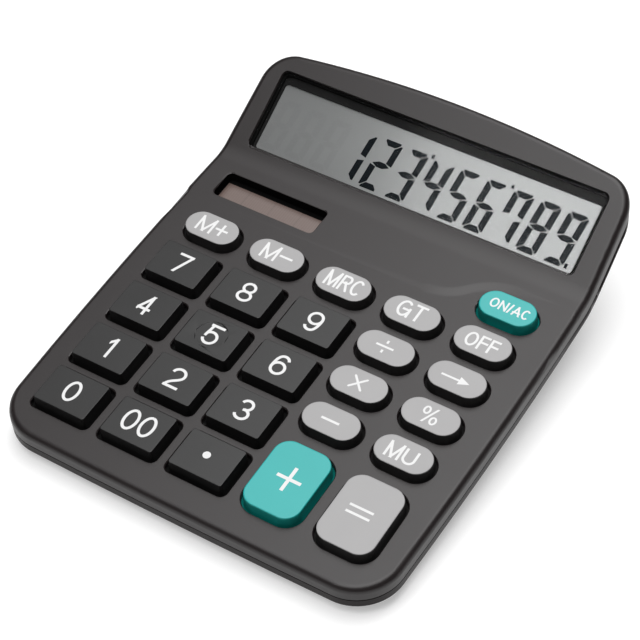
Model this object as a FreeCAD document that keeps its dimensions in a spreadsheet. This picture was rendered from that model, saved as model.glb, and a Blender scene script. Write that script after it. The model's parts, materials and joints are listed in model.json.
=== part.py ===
import FreeCAD, Part
import math
import os
from types import SimpleNamespace

import Sketcher
from FreeCAD import Placement, Rotation, Vector

# Driving dimensions, millimetres and degrees.
# The keypad frame has x to the right, y back along the keypad from its front edge and z square
# to the keypad plate. The display frame starts at the bend line, turned up by display_tilt.
DRIVING = {
    # stance on the table
    "keypad_tilt": 6.5,
    "front_height": 10.0,
    "front_place": -69.39,
    "base_height": 1.2,
    # plan outline of the casing
    "front_half": 57.3,
    "rear_half": 57.2,
    "front_line": -0.6,
    "rear_line": 137.9,
    "front_bow": 3000.0,
    "side_bow": 1500.0,
    "rear_bow": 429.0,
    "front_corner": 13.0,
    "rear_corner": 9.5,
    # bent section of the casing
    "bend_line": 107.6,
    "bend_round": 12.0,
    "display_tilt": 27.0,
    "zone_step": 0.45,
    "edge_round": 1.9,
    "wall": 2.2,
    "parting": 4.65,
    "seam": 0.35,
    "tongue_height": 1.3,
    "tongue_inset": 1.15,
    "tongue_gap": 0.1,
    "tray_depth": 9.2,
    "tray_floor": 7.9,
    "tray_chamfer": 1.9,
    "root": 0.4,
    # step line between the keypad and the middle zone
    "step_front": 89.6,
    "step_back": 100.2,
    "step_start": 18.0,
    "step_end": 41.5,
    "step_ramp": 2.2,
    # keys
    "column_pitch": 21.0,
    "digit_row": 14.7,
    "digit_pitch": 16.6,
    "oval_row": 39.3,
    "oval_pitch": 13.45,
    "tall_row": 18.8,
    "digit_width": 15.9,
    "digit_depth": 12.0,
    "digit_corner": 0.7,
    "oval_width": 16.0,
    "oval_depth": 8.9,
    "oval_corner": 4.4,
    "tall_width": 16.0,
    "tall_depth": 21.6,
    "tall_corner": 4.4,
    "key_height": 2.6,
    "key_draft": 4.0,
    "digit_gap": 0.95,
    "key_gap": 0.52,
    "key_catch": 0.45,
    "lip_thickness": 0.8,
    "lip_gap": 0.1,
    "key_shell": 1.3,
    "key_roof": 1.4,
    "stem_radius": 2.0,
    "key_edge": 0.45,
    "digit_edge": 0.2,
    "dish_radius": 4.5,
    "dish_depth": 0.22,
    "hole_edge": 0.25,
    # rubber keypad and board
    "sheet_top": -4.4,
    "sheet_thickness": 0.8,
    "sheet_half": 51.2,
    "sheet_front": 8.6,
    "sheet_back": 98.0,
    "dome_radius": 3.9,
    "dome_crown": 2.6,
    "dome_wall": 0.7,
    "dome_roof": 1.0,
    "dome_gap": 0.05,
    "board_half": 55.0,
    "board_front": 8.6,
    "board_back": 101.4,
    "board_thickness": 1.2,
    "board_corner": 6.0,
    "board_screw_column": 53.4,
    "board_screw_front": 22.7,
    "board_screw_pitch": 31.7,
    "board_boss": 1.6,
    "board_shank": 0.75,
    "board_pilot": 0.8,
    "board_hole": 0.85,
    "board_head": 1.65,
    "board_head_height": 0.9,
    "chip_radius": 6.5,
    "chip_height": 1.6,
    # display, in the display frame
    "window_width": 102.6,
    "window_depth": 24.5,
    "window_middle": 16.05,
    "window_corner": 1.8,
    "window_seat": 1.3,
    "window_ledge": 0.65,
    "lens_gap": 0.15,
    "lens_thickness": 1.0,
    "view_width": 100.0,
    "view_depth": 20.5,
    "view_middle": 15.05,
    "view_corner": 1.0,
    "frame_width": 105.0,
    "frame_depth": 24.4,
    "frame_middle": 15.3,
    "frame_corner": 5.0,
    "frame_lip": 0.55,
    "glass_width": 102.4,
    "glass_depth": 22.2,
    "glass_middle": 15.1,
    "glass_thickness": 2.0,
    "ribbon_width": 40.0,
    "ribbon_thickness": 0.3,
    "ribbon_start": 7.0,
    "ribbon_bend": 2.4,
    "ribbon_margin": 0.8,
    # solar cell, in the keypad frame
    "solar_column": -34.5,
    "solar_row": 96.9,
    "solar_width": 32.6,
    "solar_depth": 9.2,
    "solar_corner": 1.5,
    "solar_drop": 3.2,
    "solar_rim": 1.2,
    "opening_edge": 0.25,
    "cell_thickness": 1.1,
    "cell_margin": 1.0,
    "lead_radius": 0.3,
    "lead_reach": 11.7,
    # casing screws, in the keypad frame
    "screw_front_column": 44.0,
    "screw_front_row": 4.0,
    "screw_rear_column": 52.0,
    "screw_rear_row": 105.4,
    "screw_boss": 2.3,
    "screw_socket": 3.5,
    "screw_shank": 1.2,
    "screw_pilot": 1.25,
    "screw_hole": 1.45,
    "screw_head": 2.4,
    "screw_recess": 2.65,
    "screw_head_height": 1.2,
    "screw_seat": -7.0,
    "screw_meet": -5.6,
    "screw_tip": -2.4,
    "screw_end_gap": 0.2,
    # wedge foot and battery bay
    "wedge_half": 48.0,
    "wedge_front": 4.0,
    "wedge_rear": 125.5,
    "wedge_corner": 8.0,
    "wedge_wall": 1.8,
    "wedge_edge": 1.0,
    "cell_radius": 7.25,
    "cell_length": 49.5,
    "cell_nub_radius": 2.75,
    "cell_nub_length": 1.0,
    "cell_bevel": 0.5,
    "cell_place": 46.2,
    "cell_height": 11.5,
    "bay_half": 28.0,
    "bay_wall": 1.2,
    "bay_front_gap": 2.6,
    "bay_arch_gap": 0.35,
    "contact_thickness": 0.4,
    "contact_width": 9.0,
    "contact_dimple": 0.7,
    "contact_drop": 5.5,
    "contact_rise": 4.5,
    "contact_fold": 2.8,
    "contact_bend": 1.2,
    "contact_slant": 0.55,
    "door_half": 26.2,
    "door_front_margin": 1.1,
    "door_rear_margin": 0.4,
    "door_lip": 1.4,
    "door_gap": 0.3,
    "door_lift": 0.05,
    "door_skin": 1.2,
    "door_lip_thickness": 1.0,
    "door_rear_height": 9.0,
    "grip_count": 5,
    "grip_radius": 0.35,
    "grip_half": 10.5,
    "grip_start": 3.0,
    "grip_pitch": 1.7,
    # rubber feet
    "foot_radius": 4.5,
    "foot_gap": 0.1,
    "foot_inset": 0.6,
    "foot_chamfer": 0.4,
    "foot_column": 38.0,
    "foot_front": -55.0,
    "foot_rear": 34.0,
}

doc = FreeCAD.newDocument("desk_calculator")
sheet = doc.addObject("Spreadsheet::Sheet", "Sizes")
for row, (alias, value) in enumerate(DRIVING.items(), start=1):
    sheet.set(f"A{row}", alias.replace("_", " "))
    sheet.set(f"B{row}", str(value))
    sheet.setAlias(f"B{row}", alias)
doc.recompute()


class Size:
    """A number kept together with the sheet expression that gives it."""

    def __init__(self, value, text):
        self.value = value
        self.text = text

    def __add__(self, other):
        other = as_size(other)
        return Size(self.value + other.value, f"({self.text} + {other.text})")

    def __sub__(self, other):
        other = as_size(other)
        return Size(self.value - other.value, f"({self.text} - {other.text})")

    def __mul__(self, other):
        other = as_size(other)
        return Size(self.value * other.value, f"({self.text} * {other.text})")

    def __truediv__(self, other):
        other = as_size(other)
        return Size(self.value / other.value, f"({self.text} / {other.text})")

    def __radd__(self, other):
        return as_size(other) + self

    def __rsub__(self, other):
        return as_size(other) - self

    def __rmul__(self, other):
        return as_size(other) * self

    def __neg__(self):
        return 0 - self


def as_size(number):
    return number if isinstance(number, Size) else Size(float(number), repr(float(number)))


def tan(angle):
    return Size(math.tan(math.radians(angle.value)), f"tan({angle.text} * 1 deg)")


def cos(angle):
    return Size(math.cos(math.radians(angle.value)), f"cos({angle.text} * 1 deg)")


def sin(angle):
    return Size(math.sin(math.radians(angle.value)), f"sin({angle.text} * 1 deg)")


S = SimpleNamespace(**{alias: Size(float(sheet.get(alias)), f"Sizes.{alias}") for alias in DRIVING})

# Heights in the keypad frame that several pieces share
plate_under = S.zone_step - S.wall
lip_top = plate_under - S.lip_gap
lip_bottom = lip_top - S.lip_thickness
sheet_bottom = S.sheet_top - S.sheet_thickness
board_bottom = sheet_bottom - S.board_thickness

# Cutting shapes run past the casing by REACH or SPAN, and past a single wall by CLEAR
REACH = 90.0
SPAN = 240.0
CLEAR = 1.0
CLOSE = 0.02
BEVEL = 45.0

keypad_frame = Placement(
    Vector(0, S.front_place.value, S.front_height.value), Rotation(Vector(1, 0, 0), S.keypad_tilt.value)
)
display_frame = keypad_frame * Placement(
    Vector(0, S.bend_line.value, S.zone_step.value), Rotation(Vector(1, 0, 0), S.display_tilt.value)
)
table_frame = Placement()


# Sketch and feature helpers


def bind(thing, name, size):
    thing.setExpression(name, as_size(size).text)


def new_body(name, frame):
    body = doc.addObject("PartDesign::Body", name)
    body.Placement = frame
    return body


def new_sketch(body, role, x=0, y=0, z=0):
    sketch = body.newObject("Sketcher::SketchObject", "sketch")
    plane = next(feature for feature in body.Origin.OriginFeatures if feature.Role == role)
    sketch.AttachmentSupport = [(plane, "")]
    sketch.MapMode = "FlatFace"
    for axis, place in zip("xyz", (x, y, z)):
        bind(sketch, f"AttachmentOffset.Base.{axis}", place)
    return sketch


def constrain(sketch, kind, *where, size):
    index = sketch.addConstraint(Sketcher.Constraint(kind, *where, size.value))
    sketch.setExpression(f"Constraints[{index}]", size.text)


def draw_circle(sketch, radius):
    circle = sketch.addGeometry(Part.Circle(Vector(), Vector(0, 0, 1), radius.value))
    sketch.addConstraint(Sketcher.Constraint("Coincident", circle, 3, -1, 1))
    constrain(sketch, "Radius", circle, size=radius)


def draw_rounded(sketch, width, depth, corner):
    """A rectangle with round corners, centred on the sketch's origin."""
    x, y, r = width.value / 2, depth.value / 2, corner.value
    spots = [(x - r, -y + r, -90), (x - r, y - r, 0), (-x + r, y - r, 90), (-x + r, -y + r, 180)]
    sides = [((-x + r, -y), (x - r, -y)), ((x, -y + r), (x, y - r)),
             ((x - r, y), (-x + r, y)), ((-x, y - r), (-x, -y + r))]
    lines = []
    arcs = []
    for (cx, cy, turn), (start, end) in zip(spots, sides):
        line = Part.LineSegment(Vector(*start, 0), Vector(*end, 0))
        circle = Part.Circle(Vector(cx, cy, 0), Vector(0, 0, 1), r)
        arc = Part.ArcOfCircle(circle, math.radians(turn), math.radians(turn + 90))
        lines.append(sketch.addGeometry(line))
        arcs.append(sketch.addGeometry(arc))
    for index in range(4):
        following = lines[(index + 1) % 4]
        sketch.addConstraint(Sketcher.Constraint("Tangent", lines[index], 2, arcs[index], 1))
        sketch.addConstraint(Sketcher.Constraint("Tangent", arcs[index], 2, following, 1))
        direction = "Horizontal" if index % 2 == 0 else "Vertical"
        sketch.addConstraint(Sketcher.Constraint(direction, lines[index]))
    for arc in arcs[1:]:
        sketch.addConstraint(Sketcher.Constraint("Equal", arcs[0], arc))
    sketch.addConstraint(Sketcher.Constraint("Symmetric", arcs[0], 3, arcs[2], 3, -1, 1))
    constrain(sketch, "Radius", arcs[0], size=corner)
    constrain(sketch, "DistanceX", lines[3], 1, lines[1], 1, size=width)
    constrain(sketch, "DistanceY", lines[0], 1, lines[2], 1, size=depth)


def draw_outline(sketch, corners, bows=None):
    """A closed outline through its corners; bows maps a side's number to an arc's radius.

    A positive radius bows out to the right of the way from corner to corner, a negative one to
    the left, so on an outline drawn counter-clockwise positive sides bulge outwards.
    """
    bows = bows or {}
    count = len(corners)
    ends = []
    for index, (start, end) in enumerate(zip(corners, corners[1:] + corners[:1])):
        first = Vector(start[0].value, start[1].value, 0)
        last = Vector(end[0].value, end[1].value, 0)
        if index not in bows:
            ends.append((sketch.addGeometry(Part.LineSegment(first, last)), 1, 2))
            continue
        radius = abs(bows[index].value)
        ahead = bows[index].value > 0
        chord = last - first
        half = chord.Length / 2
        left = Vector(-chord.y, chord.x, 0).normalize()
        rise = math.sqrt(radius**2 - half**2)
        centre = (first + last) / 2 + left * (rise if ahead else -rise)
        begin, finish = (first, last) if ahead else (last, first)
        angles = [math.atan2(point.y - centre.y, point.x - centre.x) for point in (begin, finish)]
        circle = Part.Circle(centre, Vector(0, 0, 1), radius)
        arc = sketch.addGeometry(Part.ArcOfCircle(circle, *angles))
        ends.append((arc, 1, 2) if ahead else (arc, 2, 1))
        constrain(sketch, "Radius", arc, size=bows[index] if ahead else -bows[index])
    for index in range(count):
        geometry, _, end = ends[index]
        following, start, _ = ends[(index + 1) % count]
        sketch.addConstraint(Sketcher.Constraint("Coincident", geometry, end, following, start))
        geometry, start, _ = ends[index]
        constrain(sketch, "DistanceX", -1, 1, geometry, start, size=corners[index][0])
        constrain(sketch, "DistanceY", -1, 1, geometry, start, size=corners[index][1])


def points(*pairs):
    return [(as_size(x), as_size(y)) for x, y in pairs]


def pad(body, sketch, length, both=False, draft=None):
    feature = body.newObject("PartDesign::Pad", "pad")
    feature.Profile = sketch
    feature.SideType = "Symmetric" if both else "One side"
    bind(feature, "Length", length)
    if draft is not None:
        bind(feature, "TaperAngle", draft)
    return feature


def pocket(body, sketch, length, both=False, upward=False):
    feature = body.newObject("PartDesign::Pocket", "pocket")
    feature.Profile = sketch
    feature.SideType = "Symmetric" if both else "One side"
    feature.Reversed = upward
    bind(feature, "Length", length)
    return feature


def edges_where(feature, wanted):
    doc.recompute()
    names = [f"Edge{n}" for n, edge in enumerate(feature.Shape.Edges, start=1) if wanted(edge)]
    if not names:
        raise RuntimeError(f"no edge found on {feature.Name}")
    return names


def dress(body, kind, feature, wanted, size):
    """A Fillet or Chamfer on the edges that the test picks."""
    names = edges_where(feature, wanted)
    dressed = body.newObject(f"PartDesign::{kind}", kind.lower())
    dressed.Base = (feature, names)
    bind(dressed, "Radius" if kind == "Fillet" else "Size", size)
    return dressed


def middle(edge):
    return edge.valueAt((edge.FirstParameter + edge.LastParameter) / 2)


def near(value, target):
    return abs(value - as_size(target).value) < CLOSE


def rounded_block(name, frame, width, depth, corner, bottom, top, x=0, y=0):
    """A plain block with round corners between two heights of its frame."""
    body = new_body(name, frame)
    sketch = new_sketch(body, "XY_Plane", x, y, bottom)
    draw_rounded(sketch, width, depth, corner)
    pad(body, sketch, top - bottom)
    return body


def cylinder(name, frame, radius, bottom, top, x=0, y=0):
    bottom, x, y = as_size(bottom), as_size(x), as_size(y)
    solid = doc.addObject("Part::Cylinder", name)
    bind(solid, "Radius", radius)
    bind(solid, "Height", top - bottom)
    solid.Placement = frame * Placement(Vector(x.value, y.value, bottom.value), Rotation())
    return solid


def box(name, frame, low, high):
    low = [as_size(number) for number in low]
    high = [as_size(number) for number in high]
    solid = doc.addObject("Part::Box", name)
    for side, start, end in zip(("Length", "Width", "Height"), low, high):
        bind(solid, side, end - start)
    solid.Placement = frame * Placement(Vector(*[number.value for number in low]), Rotation())
    return solid


def fuse(name, shapes):
    joined = doc.addObject("Part::MultiFuse", name)
    joined.Shapes = shapes
    joined.Refine = True
    return joined


def cut(name, base, tools):
    """The base less one tool, or less several that are joined first."""
    whole = doc.addObject("Part::Cut", name)
    whole.Base = base
    whole.Tool = tools[0] if len(tools) == 1 else fuse(f"{name}_tools", tools)
    whole.Refine = True
    return whole


def gather(name, shapes):
    group = doc.addObject("Part::Compound", name)
    group.Links = shapes
    return group


# The bent casing: one plan outline and one bent section, offset inwards as each shell needs


def bend_point(drop):
    """Where the bend's two planes meet at a depth below the top surface."""
    return S.bend_line + drop * tan(S.display_tilt / 2), S.zone_step - drop


def bent_region(drop, up):
    """All that lies above, or below, the bent surface at a depth, as a side outline."""
    bend_y, bend_z = bend_point(drop)
    far = S.bend_line + REACH
    rise = bend_z + (far - bend_y) * tan(S.display_tilt)
    end = REACH if up else -REACH
    return points((-REACH, bend_z), (bend_y, bend_z), (far, rise), (far, end), (-REACH, end))


def bent_block(name, inset, top, bottom):
    """The casing's outline drawn in by inset, between two depths below the bent top surface."""
    inset, top, bottom = as_size(inset), as_size(top), as_size(bottom)
    body = new_body(name, keypad_frame)
    plan = new_sketch(body, "XY_Plane")
    front, rear = S.front_half - inset, S.rear_half - inset
    draw_outline(
        plan,
        points((-front, S.front_line + inset), (front, S.front_line + inset),
               (rear, S.rear_line - inset), (-rear, S.rear_line - inset)),
        {0: S.front_bow, 1: S.side_bow, 2: S.rear_bow, 3: S.side_bow},
    )
    feature = pad(body, plan, as_size(REACH), both=True)
    for rear_side, corner in ((False, S.front_corner), (True, S.rear_corner)):
        feature = dress(
            body, "Fillet", feature,
            lambda edge: upright(edge) and (middle(edge).y > REACH / 2) == rear_side,
            corner - inset,
        )
    for drop, up in ((top, True), (bottom, False)):
        side = new_sketch(body, "YZ_Plane")
        draw_outline(side, bent_region(drop, up))
        feature = pocket(body, side, as_size(SPAN), both=True)
    for drop in (top, bottom):
        feature = dress(body, "Fillet", feature, on_bend(drop), S.bend_round + drop)
    return body, feature


def upright(edge):
    return isinstance(edge.Curve, Part.Line) and near(abs(edge.tangentAt(edge.FirstParameter).z), 1)


def on_bend(drop):
    """The edge along the bend line at a depth."""
    bend_y, bend_z = bend_point(drop)
    return lambda edge: near(middle(edge).y, bend_y) and near(middle(edge).z, bend_z)


def on_rim(drop):
    """The edges of the outline on the bent surface at a depth, less those that run across it."""
    front, rear = S.front_corner.value, S.rear_line.value - S.rear_corner.value

    def wanted(edge):
        ends = [edge.valueAt(edge.FirstParameter), edge.valueAt(edge.LastParameter)]
        across = ends[0].x * ends[1].x < 0 and front < middle(edge).y < rear
        return not across and all(near(depth_below(spot), drop) for spot in ends + [middle(edge)])

    return wanted


def depth_below(spot):
    """Depth of a point of the keypad frame below the bent top surface."""
    turn = math.radians(S.display_tilt.value)
    centre_y = S.bend_line.value - S.bend_round.value * math.tan(turn / 2)
    centre_z = S.zone_step.value + S.bend_round.value
    away = Vector(0, spot.y - centre_y, spot.z - centre_z)
    if away.y <= 0:
        return S.zone_step.value - spot.z
    if math.atan2(away.y, -away.z) >= turn:
        return (spot.y - S.bend_line.value) * math.sin(turn) - (spot.z - S.zone_step.value) * math.cos(turn)
    return away.Length - S.bend_round.value


# Keys


KINDS = {
    "digit": (S.digit_width, S.digit_depth, S.digit_corner, S.digit_edge, S.digit_gap),
    "oval": (S.oval_width, S.oval_depth, S.oval_corner, S.key_edge, S.key_gap),
    "tall": (S.tall_width, S.tall_depth, S.tall_corner, S.key_edge, S.key_gap),
}
key_spread = (S.key_height - lip_top) * tan(S.key_draft)


def column(index):
    return S.column_pitch * (index - 2)


def digit_row(index):
    return S.digit_row + S.digit_pitch * index


def oval_row(index):
    return S.oval_row + S.oval_pitch * index


KEYS = [(f"key_{name}", "digit", column(place % 3), digit_row(3 - place // 3))
        for place, name in enumerate("7 8 9 4 5 6 1 2 3 0 00 point".split())]
KEYS += [(f"key_{name}", "oval", column(place), oval_row(3))
         for place, name in enumerate("memory_plus memory_minus memory_recall grand_total off".split())]
KEYS += [(f"key_{name}", "oval", column(3 + place % 2), oval_row(2 - place // 2))
         for place, name in enumerate("divide backspace times percent minus markup".split())]
KEYS += [("key_on", "oval", column(4), oval_row(4))]
KEYS += [("key_plus", "tall", column(3), S.tall_row), ("key_equals", "tall", column(4), S.tall_row)]


def make_key(name, kind, x, y):
    """A drafted cap on a lip that stops under the plate, hollow below, with a stem for its dome."""
    width, depth, corner, edge_round, gap = KINDS[kind]
    body = new_body(name, keypad_frame * Placement(Vector(x.value, y.value, 0), Rotation()))
    foot = new_sketch(body, "XY_Plane", z=lip_top)
    draw_rounded(foot, width + 2 * key_spread, depth + 2 * key_spread, corner + key_spread)
    cap = pad(body, foot, S.key_height - lip_top, draft=-S.key_draft)
    dress(body, "Fillet", cap, lambda edge: near(middle(edge).z, S.key_height), edge_round)
    lip = new_sketch(body, "XY_Plane", z=lip_bottom)
    margin = key_spread + gap + S.key_catch
    draw_rounded(lip, width + 2 * margin, depth + 2 * margin, corner + margin)
    pad(body, lip, S.lip_thickness)
    hollow = new_sketch(body, "XY_Plane", z=lip_bottom)
    inner = S.digit_corner if kind == "digit" else corner - S.key_shell
    draw_rounded(hollow, width - 2 * S.key_shell, depth - 2 * S.key_shell, inner)
    pocket(body, hollow, S.key_height - S.key_roof - lip_bottom, upward=True)
    stem = new_sketch(body, "XY_Plane", z=lip_bottom)
    draw_circle(stem, S.stem_radius)
    pad(body, stem, S.key_height - S.key_roof / 2 - lip_bottom)
    if name == "key_5":
        dish = new_sketch(body, "XY_Plane", z=S.key_height)
        draw_circle(dish, S.dish_radius)
        pocket(body, dish, S.dish_depth)
    return body


def make_membrane():
    """One rubber sheet with a hollow dome under every key."""
    crown = lip_bottom - S.dome_gap
    base = rounded_block(
        "membrane_sheet", keypad_frame, 2 * S.sheet_half, S.sheet_back - S.sheet_front, S.board_corner,
        sheet_bottom, S.sheet_top, y=(S.sheet_front + S.sheet_back) / 2,
    )
    domes = []
    hollows = []
    for _, _, x, y in KEYS:
        domes.append(cone("dome", S.dome_radius, S.dome_crown, S.sheet_top, crown, x, y))
        hollows.append(cone("dome_hollow", S.dome_radius - S.dome_wall, S.dome_crown - S.dome_wall,
                            sheet_bottom, crown - S.dome_roof, x, y))
    return cut("membrane", fuse("membrane_domes", [base] + domes), hollows)


def cone(name, radius, crown, bottom, top, x, y):
    solid = doc.addObject("Part::Cone", name)
    bind(solid, "Radius1", radius)
    bind(solid, "Radius2", crown)
    bind(solid, "Height", top - bottom)
    solid.Placement = keypad_frame * Placement(Vector(x.value, y.value, bottom.value), Rotation())
    return solid


# Casing shells


SCREWS = [(side * column_place, row_place)
          for side in (-1, 1)
          for column_place, row_place in ((S.screw_front_column, S.screw_front_row),
                                          (S.screw_rear_column, S.screw_rear_row))]
BOARD_SCREWS = [(side * S.board_screw_column, S.board_screw_front + S.board_screw_pitch * place)
                for side in (-1, 1) for place in range(3)]


SAME_SPACING = -1.0


def key_holes(body):
    """Every key's hole through the plate, patterned over the keypad."""
    grids = [("digit", 0, S.digit_row, 3, 4, S.digit_pitch), ("oval", 3, S.oval_row, 2, 4, S.oval_pitch),
             ("oval", 0, oval_row(3), 3, 1, S.oval_pitch), ("oval", 4, oval_row(4), 1, 1, S.oval_pitch),
             ("tall", 3, S.tall_row, 2, 1, S.digit_pitch)]
    for kind, first, row_place, columns, rows, pitch in grids:
        width, depth, corner, _, gap = KINDS[kind]
        margin = key_spread + gap
        sketch = new_sketch(body, "XY_Plane", column(first), row_place)
        draw_rounded(sketch, width + 2 * margin, depth + 2 * margin, corner + margin)
        feature = pocket(body, sketch, as_size(REACH), both=True)
        if columns * rows > 1:
            pattern = body.newObject("PartDesign::LinearPattern", "pattern")
            pattern.Originals = [feature]
            pattern.Direction = (sketch, ["H_Axis"])
            pattern.Mode = "Spacing"
            pattern.Occurrences = columns
            bind(pattern, "Offset", S.column_pitch)
            pattern.Direction2 = (sketch, ["V_Axis"])
            pattern.Mode2 = "Spacing"
            pattern.Occurrences2 = rows
            pattern.Spacings2 = [SAME_SPACING] * (rows - 1)
            bind(pattern, "Offset2", pitch)
            body.Tip = pattern
            feature = pattern
    return feature


def on_plate(edge):
    """An edge of the plate's upper face that isn't on its rim."""
    spot = middle(edge)
    inside = abs(spot.x) < S.board_half.value and S.front_corner.value / 2 < spot.y < S.bend_line.value
    return inside and near(spot.z, 0)


def on_step(edge):
    """An edge of the middle zone's upper face along the S-shaped step."""
    spot = middle(edge)
    along = S.step_front.value - CLOSE < spot.y < S.step_back.value + CLOSE
    return along and abs(spot.x) < S.board_half.value and near(spot.z, S.zone_step)


def flare(name, frame, width, depth, corner, top, x=0, y=0):
    """A tool that bevels the upper edge of an opening."""
    body = new_body(name, frame)
    sketch = new_sketch(body, "XY_Plane", x, y, top - S.opening_edge)
    draw_rounded(sketch, width, depth, corner)
    pad(body, sketch, S.opening_edge + CLEAR, draft=as_size(BEVEL))
    return body


def make_upper_casing():
    hood, feature = bent_block("hood_block", 0, 0, S.parting)
    feature = dress(hood, "Fillet", feature, on_rim(0), S.edge_round)
    run = S.step_end - S.step_start
    rise = S.step_back - S.step_front
    bow = (run * run + rise * rise) / (4 * rise)
    line = new_sketch(hood, "XY_Plane")
    draw_outline(
        line,
        points((-REACH, S.step_front), (-REACH, -REACH), (REACH, -REACH), (REACH, S.step_back),
               (S.step_end, S.step_back), (S.step_start + run / 2, S.step_front + rise / 2),
               (S.step_start, S.step_front)),
        {4: bow, 5: -bow},
    )
    feature = pocket(hood, line, as_size(SPAN), both=True)
    ramp = dress(hood, "Chamfer", feature, on_step, S.zone_step)
    ramp.ChamferType = "Two distances"
    bind(ramp, "Size2", S.step_ramp)

    keypad, feature = bent_block("keypad_block", 0, S.zone_step, S.parting)
    dress(keypad, "Fillet", feature, on_rim(S.zone_step), S.edge_round)
    feature = key_holes(keypad)
    dress(keypad, "Chamfer", feature, on_plate, S.hole_edge)

    space, _ = bent_block("upper_space", S.wall, S.wall, 2 * S.parting)
    groove_top = S.parting - S.tongue_height - S.tongue_gap
    groove, _ = bent_block("tongue_groove", S.tongue_inset - S.tongue_gap, groove_top, 2 * S.parting)
    shell = cut("upper_shell", fuse("upper_block", [hood, keypad]), [space, groove])

    inside = plate_under / 2
    bosses = [cylinder("screw_boss", keypad_frame, S.screw_boss, S.screw_meet, inside, x, y)
              for x, y in SCREWS]
    bosses += [cylinder("board_boss", keypad_frame, S.board_boss, sheet_bottom, inside, x, y)
               for x, y in BOARD_SCREWS]
    rim = 2 * S.solar_rim
    bosses.append(rounded_block(
        "solar_rim", keypad_frame, S.solar_width + rim, S.solar_depth + rim, S.solar_corner + S.solar_rim,
        cell_top, inside, S.solar_column, S.solar_row,
    ))
    tip = S.screw_tip + S.screw_end_gap
    pilots = [cylinder("screw_pilot", keypad_frame, S.screw_pilot, S.screw_meet - CLEAR, tip, x, y)
              for x, y in SCREWS]
    pilots += [cylinder("board_pilot", keypad_frame, S.board_pilot, sheet_bottom - CLEAR, tip, x, y)
               for x, y in BOARD_SCREWS]
    solar = rounded_block("solar_opening", keypad_frame, S.solar_width, S.solar_depth, S.solar_corner,
                          -S.wall * 2, S.wall, S.solar_column, S.solar_row)
    seat = rounded_block("window_seat", display_frame, S.window_width, S.window_depth, S.window_corner,
                         -S.window_seat, S.wall, y=S.window_middle)
    ledge = 2 * S.window_ledge
    opening = rounded_block(
        "window_opening", display_frame, S.window_width - ledge, S.window_depth - ledge,
        S.window_corner - S.window_ledge, -2 * S.wall, S.wall, y=S.window_middle,
    )
    bevels = [
        flare("solar_bevel", keypad_frame, S.solar_width, S.solar_depth, S.solar_corner, S.zone_step,
              S.solar_column, S.solar_row),
        flare("window_bevel", display_frame, S.window_width, S.window_depth, S.window_corner, as_size(0),
              y=S.window_middle),
    ]
    return cut("upper", fuse("upper_bosses", [shell] + bosses), pilots + [solar, seat, opening] + bevels)


def base_plane(height, far):
    """Height in the keypad frame of a level plane above the table, at a distance back."""
    return (height - S.front_height) / cos(S.keypad_tilt) - far * tan(S.keypad_tilt)


def wedge(name, inset, floor, top):
    """The foot under the tray: a round-cornered block between a level floor and the bent tray."""
    inset = as_size(inset)
    body = new_body(name, keypad_frame)
    plan = new_sketch(body, "XY_Plane", y=(S.wedge_front + S.wedge_rear) / 2)
    depth = S.wedge_rear - S.wedge_front - 2 * inset
    draw_rounded(plan, 2 * (S.wedge_half - inset), depth, S.wedge_corner - inset)
    pad(body, plan, as_size(REACH), both=True)
    above = new_sketch(body, "YZ_Plane")
    draw_outline(above, bent_region(top, True))
    pocket(body, above, as_size(SPAN), both=True)
    below = new_sketch(body, "YZ_Plane")
    far = as_size(SPAN)
    draw_outline(below, points((-REACH, -SPAN), (far, -SPAN), (far, base_plane(floor, far)),
                               (-REACH, base_plane(floor, as_size(-REACH)))))
    feature = pocket(body, below, as_size(SPAN), both=True)
    return body, feature


def on_base(floor):
    return lambda edge: all(
        near(spot.z, base_plane(floor, as_size(spot.y)))
        for spot in (edge.valueAt(edge.FirstParameter), middle(edge), edge.valueAt(edge.LastParameter))
    )


def make_wedge_shell():
    outer, feature = wedge("wedge_outer", 0, S.base_height, S.tray_floor + S.root)
    dress(outer, "Fillet", feature, on_base(S.base_height), S.wedge_edge)
    inner, _ = wedge("wedge_space", S.wedge_wall, wedge_floor, S.parting)
    return outer, inner


wedge_floor = S.base_height + S.wedge_wall
FEET = [(side * S.foot_column, place) for side in (-1, 1) for place in (S.foot_front, S.foot_rear)]
door_front = S.cell_place - S.cell_radius - S.door_front_margin
door_rear = S.cell_place + S.cell_radius + S.door_rear_margin


def door_boxes(name, gap):
    """The door's floor and its piece of the rear wall, drawn in by a gap."""
    side = S.door_half - gap
    rear_side = S.door_half + S.door_lip - gap
    behind = S.cell_place + REACH
    return [
        box(f"{name}_floor", table_frame, (-side, door_front + gap, -CLEAR), (side, behind, wedge_floor)),
        box(f"{name}_rear", table_frame, (-rear_side, door_rear + gap, -CLEAR),
            (rear_side, behind, S.door_rear_height - gap)),
    ]


def rod(name, radius, left, right, y, z):
    """A round bar that runs from left to right."""
    bar = doc.addObject("Part::Cylinder", name)
    bind(bar, "Radius", radius)
    bind(bar, "Height", right - left)
    bar.Placement = Placement(Vector(left.value, y.value, z.value), Rotation(Vector(0, 1, 0), 90))
    return bar


def bay_block(name, wall):
    """The battery bay's space, or with a wall the block round it: a box with an arch over the cell."""
    half = S.bay_half + wall
    front = S.cell_place - S.cell_radius - S.bay_front_gap - wall
    return fuse(name, [
        box(f"{name}_box", table_frame, (-half, front, wedge_floor - S.root),
            (half, door_rear + S.wedge_wall, S.cell_height + wall)),
        rod(f"{name}_arch", S.cell_radius + S.bay_arch_gap + wall, -half, half, S.cell_place, S.cell_height),
    ])


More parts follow.
